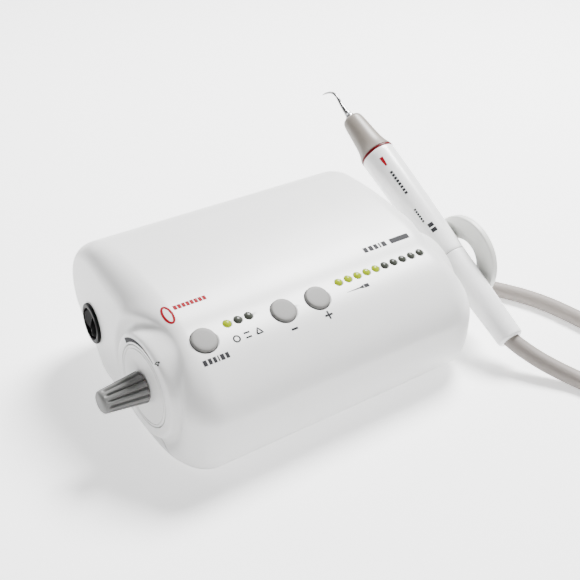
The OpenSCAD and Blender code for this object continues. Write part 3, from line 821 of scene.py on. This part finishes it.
def build_marks(bvh):
    def on_panel(spot):
        return lifted(bvh, ON_PANEL, spot)

    def on_end(spot):
        return lifted(bvh, ON_LEFT @ FLIP, spot)

    def row(y):
        return (y - PANEL_Y) / math.cos(math.radians(PANEL_TILT))

    low = row(-56.2)
    signs = [stroke([(-23.0, low), (-19.6, low)], 1.0, 3),
             stroke([(-3.7, low + 0.3), (0.5, low + 0.3)], 0.95, 3),
             stroke([(-1.6, low - 1.8), (-1.6, low + 2.4)], 0.95, 3)]
    mark("sign_marks", signs, on_panel, INK)
    level = row(-49.6)
    wedge = [stroke([(14, level), (22, level), (24, level)], [0.15, 0.7, 2.0], 6),
             stroke([(24.4, level), (27.2, level)], 2.0, 3)]
    mark("level_wedge_mark", wedge, on_panel, INK)
    mode = row(-51.4)
    modes = [stroke(loop(-49.6, mode, 1.5, 1.5), 0.75, 1),
             stroke([(-45.3, mode + 1.2), (-42.3, mode + 1.2)], 0.8, 2),
             stroke([(-45.3, mode - 1.2), (-42.3, mode - 1.2)], 0.8, 2),
             stroke([(-39.5, mode - 1.4), (-37.9, mode + 1.6), (-36.3, mode - 1.4),
                     (-39.5, mode - 1.4)], 0.75, 3)]
    mark("mode_marks", modes, on_panel, INK)
    mark("option_mark", blocks(-69.8, row(-56.2), [1.9, 1.7, 1.6, 0.6, 1.9, 1.7], 2.7, 0.75),
         on_panel, INK)
    mark("model_mark", blocks(37.5, row(-33.2), [2.4, 2.4, 2.2, 1.0, 2.6], 3.0, 0.9)
         + [stroke([(54.5, row(-33.2)), (66.5, row(-33.2))], 3.0, 6)], on_panel, INK)
    mark("red_mark", blocks(-67.6, row(-28.6), [1.7] * 8, 2.4, 0.45), on_panel, INK_RED)
    mark("red_ring_mark", [stroke(loop(-71.6, row(-30.6), 2.0, 4.6), 1.1, 1)], on_panel, INK_RED)
    sweep = [(-22.3 * math.cos(math.radians(a)), 22.3 * math.sin(math.radians(a)))
             for a in range(50, 124, 3)]
    count = len(sweep)
    thick = [2.3 * (1 - i / count) + 0.3 for i in range(count)]
    scale = stroke(sweep, thick, 1)
    drop = [(1.9 * math.sin(a / 2) ** 3 * math.cos(a) - 0.9 * math.cos(a / 2) ** 2, math.sin(a))
            for a in (math.tau * i / 20 for i in range(21))]
    middle = 24.0 * Vector((-math.cos(math.radians(127)), math.sin(math.radians(127))))
    drop = stroke([(middle.x - y, middle.y - x) for x, y in drop], 0.4, 1)
    mark("flow_scale_mark", [scale, drop], lambda p: on_end((-p.y, p.x)), INK)


build_marks(skin_bvh)


# ---------- controls on the panel ----------
BUTTON_BODIES = {"option": "option_key", "minus": "minus_key", "plus": "plus_key"}
for key, x in BUTTONS.items():
    face = rounded([(0, 1.45), (4.5, 1.4), (BUTTON_R - 0.05, 1.25), (BUTTON_R - 0.02, -4.1),
                    (BUTTON_R + 0.9, -4.1), (BUTTON_R + 0.9, -4.6), (0, -4.6)],
                   [0, 0.5, 0.8, 0.2, 0.1, 0.1, 0], 6)
    turned_piece(key + "_cap", face, ON_PANEL @ move(x, 0, 0), "button_grey",
                 BUTTON_BODIES[key], key + "_button")


def lenses(name, xs, slot, node):
    """Indicator lenses at some places of the row, as one piece."""
    shapes = []
    for x in xs:
        top = panel_height(skin_bvh, x, LED_ROW)
        dome = [(0, top + 0.8), (0.6, top + 0.76), (1.15, top + 0.6), (1.6, top + 0.36),
                (1.85, top + 0.1), (1.93, top - 0.2), (1.95, -4.6), (0, -4.6)]
        shapes.append((*lathe(dome, 40), ON_PANEL @ move(x, LED_ROW, 0)))
    new_object(name, *merged(shapes), MATERIALS[slot], "console", slot, replaces=(node,))


places = led_places()
lenses("lit_mode_lens", places[:1], "led_lit", "mode_led_lit")
lenses("dark_mode_lenses", places[1:3], "led_unlit", "mode_leds_unlit")
lenses("lit_level_lenses", places[3:8], "led_lit", "level_leds_lit")
lenses("dark_level_lenses", places[8:], "led_unlit", "level_leds_unlit")


# ---------- water knob and dial ----------
def build_knob():
    steps, grooves = 240, 12
    length, base_r, tip_r = 22.0, 7.8, 5.6
    side = [(base_r - 0.6, -0.5), (base_r - 0.15, -0.65), (base_r, -1.1)]
    side += [(base_r - (base_r - tip_r) * k / 26, -1.1 - (length - 3.4) * k / 26)
             for k in range(1, 27)]
    side += [(tip_r - 0.12, -length + 1.5), (tip_r - 0.5, -length + 0.75),
             (tip_r - 1.2, -length + 0.28), (tip_r - 2.4, -length + 0.06), (0, -length)]
    full = [(0, -11.9), (3.0, -11.9), (3.0, -0.5), *side]
    rings = []
    for r, z in full:
        ring = []
        for i in range(steps):
            a = math.tau * i / steps
            off = abs(((i * grooves / steps) + 0.5) % 1 - 0.5) * (math.tau * max(r, 1) / grooves)
            reach = eased(limited((length - 1.5 + z) / 2.6)) if r > 3.5 else 0
            valley = 0.5 + 0.5 * math.cos(math.pi * min(1, off / 0.95))
            crown = 0.16 * (off / (math.pi * max(r, 1) / grooves)) ** 2
            lessened = r - reach * (1.15 * valley ** 0.7 + 0.16 - crown)
            ring.append((lessened * math.cos(a), lessened * math.sin(a), z))
        rings.append(ring)
    new_object("fluted_knob", *tube(rings), MATERIALS["knob_grey"], "knob", "knob_grey",
               ON_LEFT, ("water_knob",))
    plate = [(19.7, 1.9), (19.7, 0), (18.7, 0), (18.6, 0.4), (18.1, 0.4), (18.0, 0), (4.3, 0),
             (4.3, 1.9)]
    plate = ring_outline(plate, [0.3, 0.35, 0.1, 0.1, 0.1, 0.1, 0.3, 0.2], 4)
    turned_piece("dial_plate", plate, ON_LEFT, "dial_white", "console", "knob_dial", 160)


build_knob()


# ---------- power switch ----------
def build_switch():
    bezel = [(10.6, -0.2), (10.6, -1.7), (8.25, -1.8), (8.2, 9.6), (9.1, 9.8), (9.1, -0.2)]
    bezel = ring_outline(bezel, [0.2, 0.8, 0.5, 0.2, 0.2, 0.1], 6)
    ring = new_object("switch_ring", *lathe(bezel, 128), MATERIALS["switch_black"], None,
                      matrix=ON_SWITCH)
    boolean(ring, rod_tool(0.85, -8.6, 8.6, ON_PIN @ turn(90, "Y"), 24))
    settle(ring, "console", "switch_black", "switch_bezel")
    rear = lathe(rounded([(0, 9.9), (9.1, 9.9), (9.1, 12.7), (0, 12.7)], [0, 0.2, 0.5, 0], 4), 96)
    new_object("switch_back", *rear, MATERIALS["switch_black"], "console", "switch_black",
               ON_SWITCH, ("switch_bezel",))
    rings = []
    steps, reach = 56, 6.96
    for k in range(steps + 1):
        y = reach * (2 * k / steps - 1)
        half = min(6.5, math.sqrt(7.08 ** 2 - y * y))
        drop = math.sqrt(y * y + 0.5) - math.sqrt(0.5)
        edge = max(0, (abs(y) - 6.3) / 0.7)
        top = 1.0 - 3.75 * drop / 6.3 + 0.45 * edge * edge
        low = 3.6 + 2.7 * max(0, 1 - abs(y) / 3)
        c = min(0.45, half * 0.3)
        right = [(half * 0.4, y, top + 0.12), (half - c, y, top),
                 (half - 0.3 * c, y, top + 0.3 * c), (half, y, top + c), (half, y, low)]
        rings.append([(-x, y, z) for x, y, z in reversed(right)] + right)
    tilt = ON_PIN @ turn(8, "X") @ move(0, 0, -3.5)
    rocker = new_object("rocker_cap", *stacked(rings), MATERIALS["switch_black"], None,
                        matrix=tilt)
    boolean(rocker, rod_tool(0.85, -8.6, 8.6, ON_PIN @ turn(90, "Y"), 24))
    settle(rocker, "rocker", "switch_black", "power_rocker")


build_switch()


# ---------- holder ----------
EAR_HOLE_R = 10.9


def build_holder():
    foot = rounded([(0, 85.05), (20, 85.05), (20, 88), (0, 88.1)], [0, 0.2, 1.2, 0], 6)
    arm = tool_piece(*lathe(foot, 128), move(0, BOSS_Y, BOSS_Z) @ turn(90, "Y"))
    arm.name = "holder_arm"
    web = box_tool((86, -48, 14), (113, -10, 44))
    boolean(web, box_tool((-30, 2, 36), (30, 18, 66), 0, ON_GRIP), "INTERSECT")
    softened(web, 1.6)
    boolean(arm, web, "UNION")
    ear = [(EAR_HOLE_R, 111.4), (EAR_HOLE_R, 115), (12.4, 115), (13, 114.8), (22.4, 114.8),
           (22.8, 115), (23.6, 115), (23.6, 111.4)]
    plate = ring_outline(ear, [0.9, 0.9, 0.3, 0.3, 0.3, 0.3, 1.1, 1.1], 6)
    boolean(arm, tool_piece(*lathe(plate, 144), ON_EAR), "UNION")
    boolean(arm, rod_tool(9.15, 20, 100, ON_GRIP))
    boolean(arm, rod_tool(EAR_HOLE_R, 108, 118, ON_EAR))
    for reach in (-14.4, 14.4):
        tilt = math.radians(GRIP_SLOPE)
        spot = move(0, BOSS_Y + reach * math.sin(tilt), BOSS_Z - reach * math.cos(tilt))
        boolean(arm, rod_tool(1.8, 80, 90, spot @ turn(90, "Y"), 32))
    settle(arm, "console", "holder_white", "handpiece_holder")


build_holder()

# ---------- cable gland ----------
gland = [(4.42, 73.6), (6.55, 73.6), (6.55, 82.9), (8.15, 82.9), (8.15, 84.9), (7.3, 86.2)]
for k in range(4):
    start, r = 89.4 + 4 * k, 7.05 - 0.35 * k
    gland += [(r, start), (r - 0.75, start + 0.25), (r - 0.8, start + 1.1), (r - 0.1, start + 1.4)]
gland += [(5.3, 105.9), (4.42, 105.9)]
gland = ring_outline(gland, [0.2, 0.2, 0.1, 0.3, 0.6, 1.0] + [0.25] * 16 + [0.4, 0.1], 3)
turned_piece("strain_relief", gland, ON_GLAND, "gland_grey", "console", "cable_gland")

# ---------- rear panel and sockets ----------
def on_rear(x):
    return move(x, 0, 29) @ turn(-90, "X")


def build_rear():
    plate = box_tool((-46.8, 60.05, 13.2), (46.8, 62, 44.8), 3.8)
    plate.name = "connector_panel"
    for x, r in ((-28, 5.1), (0, 5.6), (28, 5.1)):
        boolean(plate, rod_tool(r, 55, 70, on_rear(x), 64))
    settle(plate, "console", "panel_grey", "rear_panel")
    inlet = [(1.15, 46), (2, 46), (2, 54), (6.4, 54), (6.4, 59.9), (4.95, 59.9), (4.95, 62.4),
             (1.9, 62.4), (1.75, 65.6), (2, 65.8), (1.7, 68.8), (2, 69), (1.75, 72), (2, 72.2),
             (1.5, 74), (1.15, 74)]
    inlet = ring_outline(inlet, [0.1] * 3 + [0.4] * 2 + [0.1, 0.4] + [0.1] * 9, 3)
    turned_piece("inlet_spigot", inlet, on_rear(-28), "steel", "console", "water_inlet", 64)
    pedal = [(0, 50), (6.9, 50), (6.9, 59.9), (5.45, 59.9), (5.45, 64.4), (3.3, 64.4),
             (3.3, 52.5), (0, 52.5)]
    pedal = rounded(pedal, [0, 0.4, 0.4, 0.1, 0.5, 0.4, 0.1, 0], 4)
    turned_piece("pedal_socket_ring", pedal, on_rear(0), "black_plastic", "console",
                 "pedal_jack", 64)
    power = [(0, 50), (6.4, 50), (6.4, 59.9), (4.95, 59.9), (4.95, 63.9), (2.9, 63.9),
             (2.9, 53), (1, 53), (1, 62.8), (0, 63)]
    power = rounded(power, [0, 0.4, 0.4, 0.1, 0.5, 0.4, 0.1, 0.1, 0.3, 0], 4)
    turned_piece("power_socket_ring", power, on_rear(28), "black_plastic", "console",
                 "power_jack", 64)
    foot = rounded([(0, 0.4), (3.6, 0.35), (4.4, 0), (5.3, 0), (5.95, 0.9), (5.95, 3.4), (0, 3.4)],
                   [0, 0.4, 0.3, 0.4, 0.6, 0.3, 0], 4)
    feet = merged([(*lathe(foot, 64), move(x, y, 0)) for x in (-48, 48) for y in (-46, 46)])
    new_object("foot_pads", *feet, MATERIALS["foot_rubber"], "console", "foot_rubber",
               replaces=("rubber_feet",))


build_rear()


# ---------- handpiece ----------
# Places along the handpiece, measured from the cable's end
SEAM, RING_S, NOSE_S = 56.0, 129.6, 131.2


def grip_r(s):
    """The grip's radius at a place along it."""
    if s < SEAM:
        return 7.1 + 1.35 * s / SEAM
    return 8.45 + 1.65 * math.sin(math.radians(90 * (s - SEAM) / (RING_S - SEAM)))


def build_handpiece():
    shell = [(4.45, 0), (6.3, 0), (7.1, 0.9), (8.43, SEAM - 0.25), (5.25, SEAM - 0.25), (5.25, 6),
             (4.45, 6)]
    shell = ring_outline(shell, [0.1, 0.8, 0.6, 0.35, 0.2, 0.1, 0.1], 6)
    turned_piece("connector_barrel", shell, ON_GRIP, "handpiece_white", "console",
                 "connector_shell", 128)
    outside = [(grip_r(s), s) for s in
               [SEAM + 0.45 + (RING_S - SEAM - 0.8) * k / 40 for k in range(41)]]
    sleeve = [(6.05, SEAM + 0.15), (8.1, SEAM + 0.15), (8.33, SEAM + 0.22), *outside,
              (10.0, RING_S - 0.08), (9.8, RING_S), (7.65, RING_S), (7.65, 74), (6.05, 74)]
    turned_piece("grip_sleeve", [*sleeve, sleeve[0]], ON_GRIP, "handpiece_white", "handpiece",
                 "handpiece_sleeve", 128)
    ring = [(7.65, RING_S + 0.05), (10.15, RING_S + 0.05), (10.15, NOSE_S - 0.05),
            (7.65, NOSE_S - 0.05)]
    ring = ring_outline(ring, [0.1, 0.4, 0.4, 0.1], 5)
    turned_piece("red_band", ring, ON_GRIP, "ring_red", "handpiece", "accent_ring", 128)
    flare = [(9.85, NOSE_S + 0.02), (10.05, NOSE_S + 0.3), (9.9, 132.0), (9.5, 133), (9.0, 134.4),
             (8.5, 136), (8.05, 138), (7.74, 140), (7.44, 142.5), (7.18, 145), (6.95, 147.5),
             (6.72, 150), (6.5, 152.4), (6.28, 154.6), (6.1, 156), (5.88, 157), (5.6, 157.8),
             (5.2, 158.35), (4.75, 158.68), (4.3, 158.78), (3.95, 158.75)]
    nose = [(7.65, NOSE_S), *flare, (3.92, 152), (6, 144), (7.2, 136)]
    turned_piece("nose_shell", [*nose, nose[0]], ON_GRIP, "nose_taupe", "handpiece",
                 "nose_cone", 128)
    path = [(0, 0, 163.45), (0, 0, 167), (0, -0.3, 171), (0, -0.9, 174), (0, -0.8, 176.8),
            (0, 0.1, 179.4), (0, 1.7, 181.4), (0, 3.8, 183.1), (0, 6.1, 184.7), (0, 8.3, 185.8)]
    radii = [1.75, 1.3, 1, 0.85, 0.78, 0.72, 0.65, 0.56, 0.45, 0.22]
    fine = smooth_route(path, 8)

    def radius_at(share):
        place = share * (len(radii) - 1)
        k = min(int(place), len(radii) - 2)
        return radii[k] + (radii[k + 1] - radii[k]) * (place - k)

    points, faces = swept(fine, radius_at, 24, Vector((1, 0, 0)))
    new_object("steel_insert", points, faces, MATERIALS["tip_steel"], "handpiece", "tip_steel",
               ON_GRIP, ("scaler_tip",))


build_handpiece()


def build_grip_marks():
    """Plain printed bars along the top of the grip."""
    def laid(spot):
        r = grip_r(spot.x) + 0.06
        a = spot.y / r - math.radians(128)
        return ON_GRIP @ Vector((r * math.cos(a), r * math.sin(a), spot.x))

    mark("grip_name_mark", blocks(97, 0, [1.5] * 8, 1.7, 0.6), laid, INK, "handpiece")
    mark("grip_red_mark", [stroke([(117.5, 0.0), (123.5, 0.0)], [1.2, 2.2], 6)], laid, INK_RED,
         "handpiece")
    mark("grip_rating_mark", blocks(78, -1.6, [1.1] * 6, 1.2, 0.5)
         + blocks(70, 0.6, [2.4, 2.4], 3.2, 0.9), laid, INK, "handpiece")


build_grip_marks()

# ---------- stage and light ----------
def add_stage():
    mesh = bpy.data.meshes.new("floor")
    mesh.from_pydata([(-6, -6, 0), (6, -6, 0), (6, 6, 0), (-6, 6, 0)], [], [(0, 1, 2, 3)])
    floor = bpy.data.objects.new("floor", mesh)
    bpy.context.scene.collection.objects.link(floor)
    pale = material("floor_pale", (0.95, 0.95, 0.95), rough=0.8, bump=0.0, mottle=0.003,
                    Emission_Color=(1, 1, 1, 1), Emission_Strength=0.95)
    mesh.materials.append(pale)


def add_light(name, place, aim, size, power):
    data = bpy.data.lights.new(name, "AREA")
    data.shape = "DISK"
    data.size = size
    data.energy = power
    light = bpy.data.objects.new(name, data)
    bpy.context.scene.collection.objects.link(light)
    light.location = place
    light.rotation_mode = "QUATERNION"
    light.rotation_quaternion = (Vector(aim) - Vector(place)).to_track_quat("-Z", "Y")


def add_world():
    world = bpy.data.worlds.new("studio")
    bpy.context.scene.world = world
    world.use_nodes = True
    back = world.node_tree.nodes["Background"]
    back.inputs["Color"].default_value = (1, 1, 1, 1)
    back.inputs["Strength"].default_value = 0.35


add_stage()
add_world()
add_light("key", (0.68, 0.2, 1.15), (0, 0, 0.03), 0.6, 72)
add_light("rim", (-0.2, 1.2, 0.7), (0, 0, 0.03), 0.8, 8)
